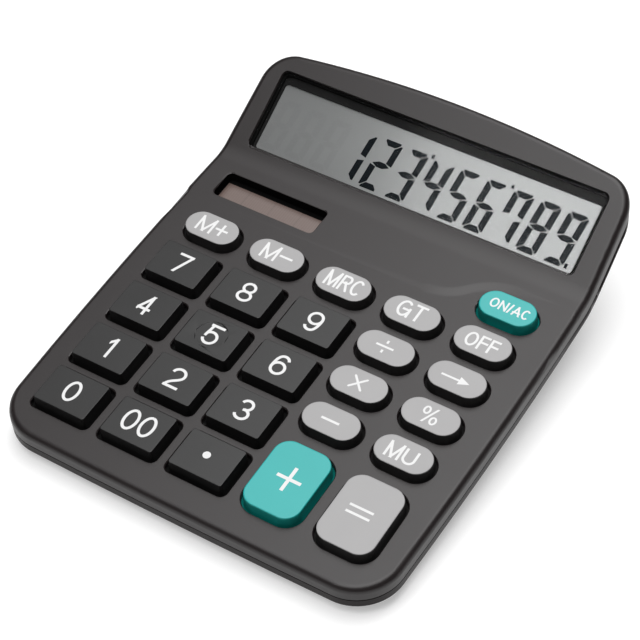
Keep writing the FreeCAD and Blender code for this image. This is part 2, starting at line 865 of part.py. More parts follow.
def make_lower_casing(outer, inner):
    tray, feature = bent_block("tray_block", 0, S.parting + S.seam, S.tray_depth)
    dress(tray, "Chamfer", feature, on_rim(S.tray_depth), S.tray_chamfer)
    tongue, _ = bent_block("tongue_block", S.tongue_inset, S.parting - S.tongue_height, S.tray_floor)
    space, _ = bent_block("tray_space", S.wall, -S.parting, S.tray_floor)
    shell = cut("lower_shell", fuse("lower_block", [tray, tongue, outer]), [space, inner])
    bay = cut("battery_bay", bay_block("bay_block", S.bay_wall), [bay_block("bay_space", as_size(0))])
    sockets = [cylinder("screw_socket", keypad_frame, S.screw_socket, -S.tray_floor, S.screw_meet, x, y)
               for x, y in SCREWS]
    recesses = [cylinder("screw_recess", keypad_frame, S.screw_recess, -2 * S.tray_depth, S.screw_seat, x, y)
                for x, y in SCREWS]
    recesses += [cylinder("screw_hole", keypad_frame, S.screw_hole, -S.tray_depth, S.parting, x, y)
                 for x, y in SCREWS]
    hollow = S.foot_radius + S.foot_gap
    recesses += [cylinder("foot_recess", table_frame, hollow, 0, S.base_height + S.foot_inset, x, y)
                 for x, y in FEET]
    return cut("lower", fuse("lower_ribs", [shell, bay] + sockets), recesses + door_boxes("opening", 0))


def make_door(outer, inner):
    """A piece of the foot's own shell with a lip that slides over the floor."""
    skin = doc.addObject("Part::MultiCommon", "door_skin")
    skin.Shapes = [cut("door_shell", outer, [inner]), fuse("door_shape", door_boxes("door", S.door_gap))]
    side = S.door_half - S.door_gap
    wing = S.door_half + S.door_lip - S.door_gap
    front = door_front + S.door_gap
    rear = door_rear + S.wedge_wall / 2
    top = wedge_floor + S.door_lip_thickness
    plate = box("door_plate", table_frame, (-side, front, wedge_floor - S.door_skin), (side, rear, top))
    lips = box("door_lips", table_frame, (-wing, front - S.door_lip, wedge_floor + S.door_lift),
               (wing, rear, top))
    grips = [rod("door_grip", S.grip_radius, -S.grip_half, S.grip_half,
                 door_front + S.grip_start + S.grip_pitch * place, S.base_height)
             for place in range(int(S.grip_count.value))]
    return fuse("door", [skin, plate, lips] + grips)


def make_screws(name, spots, head_radius, head_height, shank_radius, seat, tip):
    """Pan-head screws that point up, each head's upper face on its seat."""
    screws = []
    for x, y in spots:
        head = cylinder(f"{name}_head", keypad_frame, head_radius, seat - head_height, seat, x, y)
        shank = cylinder(f"{name}_shank", keypad_frame, shank_radius, seat - head_height / 2, tip, x, y)
        screws.append(fuse(name, [head, shank]))
    return gather(f"{name}s", screws)


# Display and solar cell


glass_top = -S.wall - S.frame_lip
cell_top = S.zone_step - S.solar_drop


def make_lcd_frame():
    """A black surround under the casing, open over the picture and seated round the glass."""
    bottom = glass_top - S.glass_thickness
    body = rounded_block("frame", display_frame, S.frame_width, S.frame_depth, S.frame_corner,
                         bottom, -S.wall, y=S.frame_middle)
    view = new_sketch(body, "XY_Plane", y=S.view_middle)
    draw_rounded(view, S.view_width, S.view_depth, S.view_corner)
    pocket(body, view, as_size(REACH), both=True)
    seat = new_sketch(body, "XY_Plane", y=S.glass_middle, z=bottom)
    gap = 2 * S.lens_gap
    draw_rounded(seat, S.glass_width + gap, S.glass_depth + gap, S.lens_gap)
    pocket(body, seat, S.glass_thickness, upward=True)
    return body


def glass_spot(along, deep):
    """A point of the display frame as keypad-frame distances back and up."""
    back = S.bend_line + along * cos(S.display_tilt) - deep * sin(S.display_tilt)
    return back, S.zone_step + along * sin(S.display_tilt) + deep * cos(S.display_tilt)


def make_ribbon():
    """A heat-seal film from the back of the glass down to the board's rear edge."""
    body = new_body("ribbon", keypad_frame)
    film = S.ribbon_thickness
    behind = glass_top - S.glass_thickness
    edge = S.board_back - S.ribbon_margin
    end = S.sheet_back + S.ribbon_margin
    side = new_sketch(body, "YZ_Plane")
    draw_outline(side, points(
        glass_spot(S.ribbon_start, behind), glass_spot(S.ribbon_bend, behind),
        (edge, sheet_bottom + film), (end, sheet_bottom + film), (end, sheet_bottom), (edge, sheet_bottom),
        glass_spot(S.ribbon_bend, behind - film), glass_spot(S.ribbon_start, behind - film),
    ))
    pad(body, side, S.ribbon_width, both=True)
    return body


def make_solar_leads():
    """Two short leads from the cell's back edge down to the board."""
    back = cell_top - S.cell_thickness
    row_place = (S.sheet_back + S.board_back) / 2
    places = (S.solar_column - S.lead_reach, S.solar_column + S.lead_reach)
    leads = [cylinder("solar_lead", keypad_frame, S.lead_radius, sheet_bottom, back, x, row_place)
             for x in places]
    return gather("leads", leads)


# Board and battery


def make_board():
    depth = S.board_back - S.board_front
    board = rounded_block("board", keypad_frame, 2 * S.board_half, depth, S.board_corner, board_bottom,
                          sheet_bottom, y=(S.board_front + S.board_back) / 2)
    low, high = board_bottom - CLEAR, sheet_bottom + CLEAR
    holes = [cylinder("board_hole", keypad_frame, S.board_hole, low, high, x, y) for x, y in BOARD_SCREWS]
    return cut("drilled_board", board, holes)


bay_frame = Placement(Vector(0, S.cell_place.value, S.cell_height.value), Rotation())
nub_tip = S.bay_half - S.contact_thickness - S.contact_dimple
cell_right = nub_tip - S.cell_nub_length
cell_left = cell_right - S.cell_length


def make_cell():
    """A round dry cell lying across the bay, its nub to the right."""
    body = new_body("cell", bay_frame)
    shoulder = S.cell_radius - S.cell_bevel
    profile = new_sketch(body, "XY_Plane")
    draw_outline(profile, points(
        (cell_left, 0), (nub_tip, 0), (nub_tip, S.cell_nub_radius), (cell_right, S.cell_nub_radius),
        (cell_right, shoulder), (cell_right - S.cell_bevel, S.cell_radius),
        (cell_left + S.cell_bevel, S.cell_radius), (cell_left, shoulder),
    ))
    turned = body.newObject("PartDesign::Revolution", "turned")
    turned.Profile = profile
    turned.ReferenceAxis = (profile, ["H_Axis"])
    turned.Angle = 360
    return body


def make_positive_contact():
    """A plate on the bay's end wall with a dimple for the cell's nub."""
    half = S.contact_width / 2
    inner = S.bay_half - S.contact_thickness
    plate = box("contact_plate", bay_frame, (inner, -half, -S.contact_drop),
                (S.bay_half, half, S.contact_rise))
    dimple = rod("contact_dimple", S.cell_nub_radius, nub_tip, S.bay_half, S.cell_place, S.cell_height)
    return fuse("contact", [plate, dimple])


def make_negative_contact():
    """A strip on the bay's wall, folded back into a leaf that presses on the cell."""
    body = new_body("leaf", bay_frame)
    wall, strip = -S.bay_half, S.contact_thickness
    low, bend = -S.contact_drop, wall + S.contact_bend
    tip = cell_left - S.contact_fold
    side = new_sketch(body, "XZ_Plane")
    draw_outline(side, points(
        (wall, S.contact_rise), (wall, low - strip), (bend, low - strip), (cell_left, 0),
        (tip, S.contact_fold), (tip - strip, S.contact_fold - strip), (cell_left - S.contact_slant, 0),
        (bend - strip / 2, low), (wall + strip, low), (wall + strip, S.contact_rise),
    ))
    pad(body, side, S.contact_width, both=True)
    return body


def make_feet():
    feet = []
    for x, y in FEET:
        body = new_body("foot", Placement(Vector(x.value, y.value, 0), Rotation()))
        sketch = new_sketch(body, "XY_Plane")
        draw_circle(sketch, S.foot_radius)
        feature = pad(body, sketch, S.base_height + S.foot_inset)
        dress(body, "Chamfer", feature, lambda edge: near(middle(edge).z, 0), S.foot_chamfer)
        feet.append(body)
    return gather("feet", feet)


# The whole object, each sub-part under the name of its file


wedge_outer, wedge_inner = make_wedge_shell()

nodes = {name: make_key(name, kind, x, y) for name, kind, x, y in KEYS}
nodes["keypad_membrane"] = make_membrane()
nodes["main_board"] = make_board()
nodes["board_chip"] = cone(
    "chip", S.chip_radius - S.chip_height, S.chip_radius, board_bottom - S.chip_height, board_bottom,
    as_size(0), (S.board_front + S.board_back) / 2,
)
nodes["board_screws"] = make_screws(
    "board_screw", BOARD_SCREWS, S.board_head, S.board_head_height, S.board_shank, board_bottom, S.screw_tip
)
nodes["upper_casing"] = make_upper_casing()
nodes["lower_casing"] = make_lower_casing(wedge_outer, wedge_inner)
nodes["battery_door"] = make_door(wedge_outer, wedge_inner)
nodes["casing_screws"] = make_screws(
    "casing_screw", SCREWS, S.screw_head, S.screw_head_height, S.screw_shank, S.screw_seat, S.screw_tip
)
nodes["rubber_feet"] = make_feet()
nodes["display_window"] = rounded_block(
    "lens", display_frame, S.window_width - 2 * S.lens_gap, S.window_depth - 2 * S.lens_gap,
    S.window_corner - S.lens_gap, -S.window_seat, S.lens_thickness - S.window_seat, y=S.window_middle,
)
nodes["lcd_frame"] = make_lcd_frame()
nodes["lcd_panel"] = rounded_block(
    "glass", display_frame, S.glass_width, S.glass_depth, S.lens_gap,
    glass_top - S.glass_thickness, glass_top, y=S.glass_middle,
)
nodes["lcd_ribbon"] = make_ribbon()
nodes["solar_cell"] = rounded_block(
    "solar", keypad_frame, S.solar_width + 2 * S.cell_margin, S.solar_depth + 2 * S.cell_margin,
    S.cell_margin / 2, cell_top - S.cell_thickness, cell_top, S.solar_column, S.solar_row,
)
nodes["solar_leads"] = make_solar_leads()
nodes["battery_cell"] = make_cell()
nodes["battery_positive"] = make_positive_contact()
nodes["battery_negative"] = make_negative_contact()
doc.recompute()

for thing in doc.Objects:
    if "Invalid" in thing.State or "Error" in thing.State:
        raise RuntimeError(f"{thing.Name} failed: {thing.State}")
for name, thing in nodes.items():
    thing.Label = name
    pieces = len(thing.Links) if thing.TypeId == "Part::Compound" else 1
    if thing.Shape.isNull() or not thing.Shape.isValid() or len(thing.Shape.Solids) != pieces:
        raise RuntimeError(f"{name} is not {pieces} sound solid(s)")

os.makedirs("parts", exist_ok=True)
for name, thing in nodes.items():
    thing.Shape.exportStep(f"parts/{name}.step")
print(f"{len(nodes)} sub-parts written")
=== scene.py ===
import json
import math

import bpy
from mathutils import Matrix, Vector

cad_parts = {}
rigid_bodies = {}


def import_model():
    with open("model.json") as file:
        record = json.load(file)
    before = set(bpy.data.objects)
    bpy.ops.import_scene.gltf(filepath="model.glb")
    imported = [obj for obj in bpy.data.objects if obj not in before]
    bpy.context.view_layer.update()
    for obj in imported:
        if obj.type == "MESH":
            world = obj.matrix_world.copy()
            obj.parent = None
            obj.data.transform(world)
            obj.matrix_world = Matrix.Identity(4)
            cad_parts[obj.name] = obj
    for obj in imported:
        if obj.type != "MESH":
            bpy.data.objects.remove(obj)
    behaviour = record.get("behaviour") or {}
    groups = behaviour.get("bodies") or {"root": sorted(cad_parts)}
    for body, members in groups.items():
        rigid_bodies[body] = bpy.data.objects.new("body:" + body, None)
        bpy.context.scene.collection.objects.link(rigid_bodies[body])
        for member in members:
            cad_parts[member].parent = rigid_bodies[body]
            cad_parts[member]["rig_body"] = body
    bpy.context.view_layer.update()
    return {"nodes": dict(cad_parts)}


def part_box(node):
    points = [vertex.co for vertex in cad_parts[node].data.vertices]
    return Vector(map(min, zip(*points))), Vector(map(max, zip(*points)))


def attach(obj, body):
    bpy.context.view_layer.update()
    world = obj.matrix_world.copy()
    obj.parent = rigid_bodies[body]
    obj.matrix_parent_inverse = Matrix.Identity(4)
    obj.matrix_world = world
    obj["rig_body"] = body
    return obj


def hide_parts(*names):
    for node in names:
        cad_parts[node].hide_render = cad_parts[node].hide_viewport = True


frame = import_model()
cadNodes = frame["nodes"]
mm = 0.001
print("frame loaded with", len(cadNodes), "nodes")


# picking, editing and placing

def deselectAll():
    if bpy.context.mode != "OBJECT":
        bpy.ops.object.mode_set(mode="OBJECT")
    bpy.ops.object.select_all(action="DESELECT")


def pick(*pieces):
    deselectAll()
    for piece in pieces:
        piece.select_set(True)
    bpy.context.view_layer.objects.active = pieces[0]


def openMesh(piece):
    pick(piece)
    bpy.ops.object.mode_set(mode="EDIT")
    bpy.ops.mesh.select_all(action="SELECT")


def closeMesh():
    bpy.ops.object.mode_set(mode="OBJECT")


def applyPlace(piece):
    pick(piece)
    bpy.ops.object.transform_apply(location=True, rotation=True, scale=True)


def applyModifier(piece, kind, **settings):
    pick(piece)
    modifier = piece.modifiers.new(kind.lower(), kind)
    for name, value in settings.items():
        setattr(modifier, name, value)
    bpy.ops.object.modifier_apply(modifier=modifier.name)


def joinPieces(pieces, name):
    pick(*pieces)
    if len(pieces) > 1:
        bpy.ops.object.join()
    joined = bpy.context.view_layer.objects.active
    joined.name = name
    return joined


def wear(piece, material):
    piece.data.materials.clear()
    piece.data.materials.append(material)


def settle(piece, body, material):
    wear(piece, material)
    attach(piece, body)


def sharpEdges(piece, degrees):
    openMesh(piece)
    bpy.ops.mesh.select_mode(type="EDGE")
    bpy.ops.mesh.select_all(action="DESELECT")
    bpy.ops.mesh.edges_select_sharp(sharpness=math.radians(degrees))
    closeMesh()
    return [edge.select for edge in piece.data.edges]


# chosen faces or edges of a closed mesh become the selection, with the mesh open
def selectOnly(piece, items, chosen, mode):
    openMesh(piece)
    bpy.ops.mesh.select_mode(type=mode)
    bpy.ops.mesh.select_all(action="DESELECT")
    closeMesh()
    for item, choice in zip(items, chosen):
        item.select = choice
    pick(piece)
    bpy.ops.object.mode_set(mode="EDIT")


topLook = {"upward": 0.5, "near": 0.005 * mm}


# the flat top of a node: a matrix with X to the right, Y to the back and Z out of the face
def topFace(node):
    mesh = cadNodes[node].data
    upward = [face for face in mesh.polygons if face.normal.z > topLook["upward"]]
    outward = max(upward, key=lambda face: face.area).normal.copy()
    rightward = Vector((1, 0, 0))
    backward = outward.cross(rightward)
    height = max(corner.co.dot(outward) for corner in mesh.vertices)
    rim = [corner.co for corner in mesh.vertices if height - corner.co.dot(outward) < topLook["near"]]
    across = [spot.dot(rightward) for spot in rim]
    along = [spot.dot(backward) for spot in rim]
    centre = (
        rightward * (min(across) + max(across)) / 2
        + backward * (min(along) + max(along)) / 2
        + outward * height
    )
    place = Matrix((rightward, backward, outward)).transposed().to_4x4()
    place.translation = centre
    return place


lcdFace = topFace("lcd_panel")
hoodUp = lcdFace.to_3x3() @ Vector((0, 0, 1))
keypadUp = topFace("key_7").to_3x3() @ Vector((0, 0, 1))
keypadBack = keypadUp.cross(Vector((1, 0, 0)))
keyTop = topFace("key_7").translation.dot(keypadUp)
flatLook = {"angle": math.radians(0.2), "depth": 2.7 * mm}


# the flat tops of the keys, the keypad and the hood decide the shading along their own edges
def keepFlats(piece):
    chosen = []
    for face in piece.data.polygons:
        onHood = face.normal.angle(hoodUp, math.pi) < flatLook["angle"]
        onKeypad = face.normal.angle(keypadUp, math.pi) < flatLook["angle"]
        chosen.append(onHood or onKeypad and keyTop - face.center.dot(keypadUp) < flatLook["depth"])
    selectOnly(piece, piece.data.polygons, chosen, "FACE")
    bpy.ops.mesh.mod_weighted_strength(set=True, face_strength="STRONG")
    bpy.ops.mesh.select_mode(type="VERT")
    closeMesh()


def pairFaces(piece, degrees):
    openMesh(piece)
    bpy.ops.mesh.tris_convert_to_quads(face_threshold=math.radians(degrees), shape_threshold=math.pi)
    closeMesh()


skinLook = {"weld": 0.002 * mm, "pairs": 0.5, "smooth": 28.0}


# a smooth copy of a CAD node, its loose triangles merged, that stands for the node
def smoothCopy(node, material, soften=None):
    piece = bpy.data.objects.new(node + "_skin", cadNodes[node].data.copy())
    bpy.context.scene.collection.objects.link(piece)
    openMesh(piece)
    bpy.ops.mesh.remove_doubles(threshold=skinLook["weld"])
    closeMesh()
    pairFaces(piece, skinLook["pairs"])
    if soften:
        soften(piece)
    keepFlats(piece)
    bpy.ops.object.shade_smooth_by_angle(angle=math.radians(skinLook["smooth"]))
    applyModifier(piece, "WEIGHTED_NORMAL", keep_sharp=True, use_face_influence=True)
    settle(piece, cadNodes[node]["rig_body"], material)
    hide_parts(node)
    return piece


# shader sockets as Python values

class Sock:
    def __init__(self, tree, link=None):
        self.tree = tree
        self.link = link

    def node(self, kind, settings=None, sockets=None, out=0):
        made = self.tree.nodes.new(kind)
        for name, value in (settings or {}).items():
            if name == "stops":
                for stop, (spot, shade) in zip(made.color_ramp.elements, value):
                    stop.position = spot
                    stop.color = (shade, shade, shade, 1)
            else:
                setattr(made, name, value)
        for name, value in (sockets or {}).items():
            if isinstance(value, Sock):
                self.tree.links.new(value.link, made.inputs[name])
            else:
                made.inputs[name].default_value = value
        return Sock(self.tree, made.outputs[out])

    def math(self, operation, first, second):
        return self.node("ShaderNodeMath", {"operation": operation}, {0: first, 1: second})

    def __add__(self, other):
        return self.math("ADD", self, other)

    __radd__ = __add__

    def __sub__(self, other):
        return self.math("SUBTRACT", self, other)

    def __rsub__(self, other):
        return self.math("SUBTRACT", other, self)

    def __mul__(self, other):
        return self.math("MULTIPLY", self, other)

    __rmul__ = __mul__

    def __gt__(self, other):
        return self.math("GREATER_THAN", self, other)

    def __lt__(self, other):
        return self.math("LESS_THAN", self, other)

    def noise(self, scale, detail=2.0):
        return self.node("ShaderNodeTexNoise", {}, {"Vector": self, "Scale": scale, "Detail": detail})

    def along(self, direction):
        vectors = {0: self, 1: direction}
        return self.node("ShaderNodeVectorMath", {"operation": "DOT_PRODUCT"}, vectors, "Value")

    def ramp(self, *stops):
        return self.node("ShaderNodeValToRGB", {"stops": stops}, {"Fac": self})

    def mix(self, first, second):
        return self.node("ShaderNodeMix", {"data_type": "RGBA"}, {0: self, 6: first, 7: second}, 2)

    def bump(self, depth):
        heights = {"Height": self, "Distance": depth, "Strength": 1.0}
        return self.node("ShaderNodeBump", {}, heights, "Normal")


def startMaterial(name, **constants):
    material = bpy.data.materials.new(name)
    material.use_nodes = True
    shader = material.node_tree.nodes["Principled BSDF"]
    for socket, value in constants.items():
        shader.inputs[socket.replace("_", " ")].default_value = value
    spots = Sock(material.node_tree).node("ShaderNodeTexCoord", out="Object")
    return material, shader, spots


def feed(shader, **values):
    for socket, value in values.items():
        shader.id_data.links.new(value.link, shader.inputs[socket.replace("_", " ")])


def grey(shade):
    return (shade, shade, shade, 1)


plasticLook = {"ior": 1.5, "shine": 0.5, "cloudDetail": 3.0, "grainDetail": 2.0, "clouds": (0.35, 0.65)}


# moulded plastic: a grain in the surface, cloudy gloss and a little unevenness of colour
def plastic(name, look):
    look = plasticLook | look
    material, shader, spots = startMaterial(name, IOR=look["ior"], Specular_IOR_Level=look["shine"])
    cloud = spots.noise(look["cloudScale"], look["cloudDetail"])
    grain = spots.noise(look["grainScale"], look["grainDetail"])
    darkest, lightest = look["clouds"]
    low, high = look["roughness"]
    feed(
        shader,
        Base_Color=cloud.ramp((darkest, 0), (lightest, 1)).mix(look["dark"], look["light"]),
        Roughness=low + (high - low) * cloud,
        Normal=grain.bump(look["grainDepth"]),
    )
    return material


# camera, lights and floor

view = {
    "eye": (0.19878, -0.3206, 0.38533),
    "target": (0.00117, -0.00415, 0.02),
    "lens": 112.5,
    "sensor": 36.0,
    "clipStart": 0.02,
}
bpy.ops.object.camera_add(location=view["eye"])
camera = bpy.context.object
camera.name = "photoCamera"
camera.rotation_euler = (Vector(view["target"]) - Vector(view["eye"])).to_track_quat("-Z", "Y").to_euler()
camera.data.lens = view["lens"]
camera.data.sensor_width = view["sensor"]
camera.data.clip_start = view["clipStart"]
bpy.context.scene.camera = camera

studio = {
    "boxHeight": 1.0,
    "boxes": (
        ("overheadSoftbox", (-0.415, -0.75), (0.35, 0.95), 4.6),
        ("backSoftbox", (-0.95, 0.1), (-0.42, 0.95), 0.8),
    ),
    "sky": 0.05,
    "floorSize": 6.0,
    "floorGlow": 0.42,
    "floorRoughness": 0.9,
    "floorCloud": 40.0,
    "floorShades": (0.61, 0.63),
}
bpy.context.scene.view_settings.view_transform = "Standard"
for name, boxLow, boxHigh, radiance in studio["boxes"]:
    boxSize = [high - low for low, high in zip(boxLow, boxHigh)]
    boxMiddle = [(high + low) / 2 for low, high in zip(boxLow, boxHigh)]
    deselectAll()
    bpy.ops.object.light_add(type="AREA", location=(*boxMiddle, studio["boxHeight"]))
    softbox = bpy.context.object
    softbox.name = name
    softbox.data.shape = "RECTANGLE"
    softbox.data.size, softbox.data.size_y = boxSize
    softbox.data.energy = radiance * math.pi * boxSize[0] * boxSize[1]

sky = bpy.data.worlds.new("studioSky")
sky.use_nodes = True
sky.node_tree.nodes["Background"].inputs["Color"].default_value = grey(1.0)
sky.node_tree.nodes["Background"].inputs["Strength"].default_value = studio["sky"]
bpy.context.scene.world = sky

deselectAll()
bpy.ops.mesh.primitive_plane_add(size=studio["floorSize"])
floor = bpy.context.object
floor.name = "floor"
floorPaper, floorShader, floorSpots = startMaterial(
    "floorPaper",
    Roughness=studio["floorRoughness"],
    Emission_Color=grey(1.0),
    Emission_Strength=studio["floorGlow"],
)
floorDark, floorLight = map(grey, studio["floorShades"])
feed(floorShader, Base_Color=floorSpots.noise(studio["floorCloud"]).mix(floorDark, floorLight))
wear(floor, floorPaper)
print("camera, softboxes and floor placed")


# casing

casingLook = {
    "dark": (0.0094, 0.0064, 0.0066, 1),
    "light": (0.011, 0.0078, 0.008, 1),
    "cloudScale": 60.0,
    "grainScale": 2600.0,
    "grainDepth": 0.012 * mm,
    "roughness": (0.38, 0.44),
    "shine": 0.455,
}
trayLook = casingLook | {"shine": 0.15, "pairs": 3.0}
# painted shade: a flat near-black that stands in for the shadow inside the display and solar recesses
recessShadeLook = {"shade": 0.004, "roughness": 0.8}

# each recess that gets painted shade on its walls: a node in it, then the reach from the middle of its top:
# sideways, front and back, and up
shadedRecesses = (
    ("display_window", 53.5 * mm, (-11.55 * mm, 13.5 * mm), -0.35 * mm),
    ("solar_cell", 17.3 * mm, (-5.6 * mm, 5.6 * mm), 2.85 * mm),
)
casingPlastic = plastic("casingPlastic", casingLook)
trayPlastic = plastic("trayPlastic", trayLook)


# how far along each direction of a face's matrix a spot is from the face's middle
def spotOn(spots, face):
    directions = [face.to_3x3() @ Vector(axis) for axis in ((1, 0, 0), (0, 1, 0), (0, 0, 1))]
    return [spots.along(direction) - face.translation.dot(direction) for direction in directions]


# painted shade: dull black with no gloss wherever a mask is 1
def paintShadeWhere(material, mask):
    tree = material.node_tree
    shadeShader = tree.nodes.new("ShaderNodeBsdfPrincipled")
    shadeShader.inputs["Base Color"].default_value = grey(recessShadeLook["shade"])
    shadeShader.inputs["Roughness"].default_value = recessShadeLook["roughness"]
    shadeShader.inputs["Specular IOR Level"].default_value = 0.0
    blend = tree.nodes.new("ShaderNodeMixShader")
    tree.links.new(mask.link, blend.inputs["Fac"])
    tree.links.new(tree.nodes["Principled BSDF"].outputs[0], blend.inputs[1])
    tree.links.new(shadeShader.outputs[0], blend.inputs[2])
    tree.links.new(blend.outputs[0], tree.nodes["Material Output"].inputs["Surface"])


# the walls of the display and solar openings are painted dull black, standing in for the shadow inside them
casingSpots = Sock(casingPlastic.node_tree).node("ShaderNodeTexCoord", out="Object")
recessShadeMasks = []
for node, reach, (front, back), top in shadedRecesses:
    side, rise, level = spotOn(casingSpots, topFace(node))
    recessShadeMasks.append((level < top) * (side * side < reach**2) * (rise > front) * (rise < back))
paintShadeWhere(casingPlastic, recessShadeMasks[0] + recessShadeMasks[1])


# the blunt edges of the S-shaped ramp get a round of their own
rampLook = {
    "drops": (2.15 * mm, 2.6 * mm),
    "near": 0.02 * mm,
    "blunt": (5.0, 25.0),
    "reach": (54 * mm, 18.5 * mm, 32.5 * mm),
    "round": 0.5 * mm,
    "segments": 2,
}


def onRamp(spot):
    side, front, back = rampLook["reach"]
    drop = keyTop - spot.dot(keypadUp)
    inReach = abs(spot.x) < side and front < spot.y < back
    return inReach and any(abs(drop - level) < rampLook["near"] for level in rampLook["drops"])


def softenRamp(piece):
    blunt, sharp = [sharpEdges(piece, degrees) for degrees in rampLook["blunt"]]
    corners = piece.data.vertices
    chosen = [
        soft and not hard and all(onRamp(corners[end].co) for end in edge.vertices)
        for soft, hard, edge in zip(blunt, sharp, piece.data.edges)
    ]
    selectOnly(piece, piece.data.edges, chosen, "EDGE")
    bpy.ops.mesh.bevel(
        offset=rampLook["round"], segments=rampLook["segments"], loop_slide=False, clamp_overlap=False
    )
    bpy.ops.mesh.select_mode(type="VERT")
    closeMesh()
    print("ramp edges rounded:", sum(chosen))


# the mesh cuts across the round of the long sides, so its faces there are divided and drawn out
rimLook = {
    "drop": 2.6 * mm,
    "radius": 1.9 * mm,
    "side": 56.0 * mm,
    "reach": (-60.0 * mm, 17.0 * mm),
    "near": 0.03 * mm,
    "level": 0.006 * mm,
    "cuts": 7,
}


def roundRims(piece):
    radius = rimLook["radius"]
    front, back = rimLook["reach"]
    axisLevel = keyTop - rimLook["drop"] - radius

    # whether a point is in a side wall's top row, level with the round's axis
    def onWall(spot, side):
        return abs(spot.dot(keypadUp) - axisLevel) < rimLook["level"] and side * spot.x > rimLook["side"]

    walls = {
        side: sorted(
            (corner.co.dot(keypadBack), side * corner.co.x)
            for corner in piece.data.vertices if onWall(corner.co, side)
        )
        for side in (-1, 1)
    }

    # a point's way out of the round's axis, to the side and up, where it is on the round at all
    def wayOut(spot):
        if abs(spot.x) < rimLook["side"] or not front < spot.y < back:
            return None
        wall = walls[1 if spot.x > 0 else -1]
        along = spot.dot(keypadBack)
        rear = next((index for index, (place, reach) in enumerate(wall) if place > along), 0)
        if rear == 0:
            return None
        (near, nearReach), (far, farReach) = wall[rear - 1:rear + 1]
        reach = nearReach + (farReach - nearReach) * (along - near) / (far - near)
        way = Vector((abs(spot.x) - reach + radius, spot.dot(keypadUp) - axisLevel))
        return way if min(way) > -rimLook["near"] else None

    corners = piece.data.vertices
    chosen = []
    for face in piece.data.polygons:
        inRound = all(wayOut(corners[index].co) for index in face.vertices)
        chosen.append(inRound and wayOut(face.center).length < radius - rimLook["near"])
    selectOnly(piece, piece.data.polygons, chosen, "FACE")
    bpy.ops.mesh.subdivide(number_cuts=rimLook["cuts"])
    bpy.ops.mesh.select_mode(type="VERT")
    closeMesh()
    for corner in piece.data.vertices:
        way = wayOut(corner.co)
        if way:
            step = way * (radius / way.length - 1)
            corner.co += Vector((math.copysign(step.x, corner.co.x), 0, 0)) + keypadUp * step.y
    print("rim faces drawn out:", sum(chosen))


def finishTop(piece):
    softenRamp(piece)
    roundRims(piece)


smoothCopy("upper_casing", casingPlastic, finishTop)
smoothCopy("lower_casing", trayPlastic, lambda piece: pairFaces(piece, trayLook["pairs"]))
smoothCopy("battery_door", trayPlastic)
print("casing dressed")


# keys

digitKeys = [f"key_{name}" for name in ("7", "8", "9", "4", "5", "6", "1", "2", "3", "0", "00", "point")]
tealKeys = ["key_on", "key_plus"]
greyKeys = sorted(node for node in cadNodes if node.startswith("key_") and node not in digitKeys + tealKeys)

digitLook = {
    "dark": (0.0045, 0.0044, 0.0045, 1),
    "light": (0.0065, 0.0064, 0.0065, 1),
    "cloudScale": 90.0,
    "grainScale": 3200.0,
    "grainDepth": 0.008 * mm,
    "roughness": (0.36, 0.44),
    "shine": 0.45,
}
digitPlastic = plastic("digitPlastic", digitLook)


# a key in two tones: a top cap over a skirt of another colour; the grey keys' black skirts are their own
# colour, while the teal keys' darker skirts are painted shade on their sides
def capOverSkirt(name, look):
    material, shader, spots = startMaterial(name, Specular_IOR_Level=look["shine"])
    rim = keyTop - look["capDepth"]
    cap = spots.along(keypadUp) > rim
    cloud = spots.noise(look["cloudScale"], plasticLook["cloudDetail"])
    grain = spots.noise(look["grainScale"], plasticLook["grainDetail"])
    feed(
        shader,
        Base_Color=cap.mix(look["skirt"], cloud.mix(look["capDark"], look["capLight"])),
        Roughness=look["skirtRoughness"] + cap * (look["capRoughness"] - look["skirtRoughness"]),
        Normal=grain.bump(look["grainDepth"]),
    )
    return material


greyLook = {
    "capDepth": 0.12 * mm,
    "capDark": (0.305, 0.3, 0.302, 1),
    "capLight": (0.338, 0.333, 0.335, 1),
    "skirt": (0.02, 0.0193, 0.0193, 1),
    "shine": 0.42,
    "capRoughness": 0.45,
    "skirtRoughness": 0.32,
    "cloudScale": 70.0,
    "grainScale": 2800.0,
    "grainDepth": 0.01 * mm,
}
tealLook = {
    "capDepth": 0.12 * mm,
    "capDark": (0.0215, 0.343, 0.331, 1),
    "capLight": (0.026, 0.378, 0.365, 1),
    # painted shade: the teal skirt is the cap's teal darkened for the shade on the key's sides
    "skirt": (0.004, 0.22, 0.195, 1),
    "shine": 0.42,
    "capRoughness": 0.4,
    "skirtRoughness": 0.35,
    "cloudScale": 70.0,
    "grainScale": 2800.0,
    "grainDepth": 0.008 * mm,
}
greyCap = capOverSkirt("greyCap", greyLook)
tealCapShadedSkirt = capOverSkirt("tealCapShadedSkirt", tealLook)
keySkins = {}
for node in digitKeys + tealKeys + greyKeys:
    keyFinish = digitPlastic if node in digitKeys else tealCapShadedSkirt if node in tealKeys else greyCap
    keySkins[node] = smoothCopy(node, keyFinish)
print("keys dressed:", len(keySkins))


# printed legends, drawn as flat strokes

legendInk = {
    "thickness": 0.03 * mm,
    "overlap": 0.001 * mm,
    "arcSteps": 9,
    "letterGap": 0.1,
    "dark": (0.64, 0.64, 0.64, 1),
    "light": (0.7, 0.7, 0.7, 1),
    "cloudScale": 900.0,
    "roughness": 0.5,
    "digitHeight": 6.8,
    "digitStroke": 0.8,
    "digitShift": (0.1, 0.2),
}
inkMaterial, inkShader, inkSpots = startMaterial("legendInk", Roughness=legendInk["roughness"])
inkCloud = inkSpots.noise(legendInk["cloudScale"])
feed(inkShader, Base_Color=inkCloud.mix(legendInk["dark"], legendInk["light"]))


# part of an ellipse, from one angle to another in degrees
def arc(centre, radii, start, end):
    steps = max(2, round(abs(end - start) / 90 * legendInk["arcSteps"]))
    angles = [math.radians(start + (end - start) * step / steps) for step in range(steps + 1)]
    return [
        (centre[0] + radii[0] * math.cos(angle), centre[1] + radii[1] * math.sin(angle))
        for angle in angles
    ]


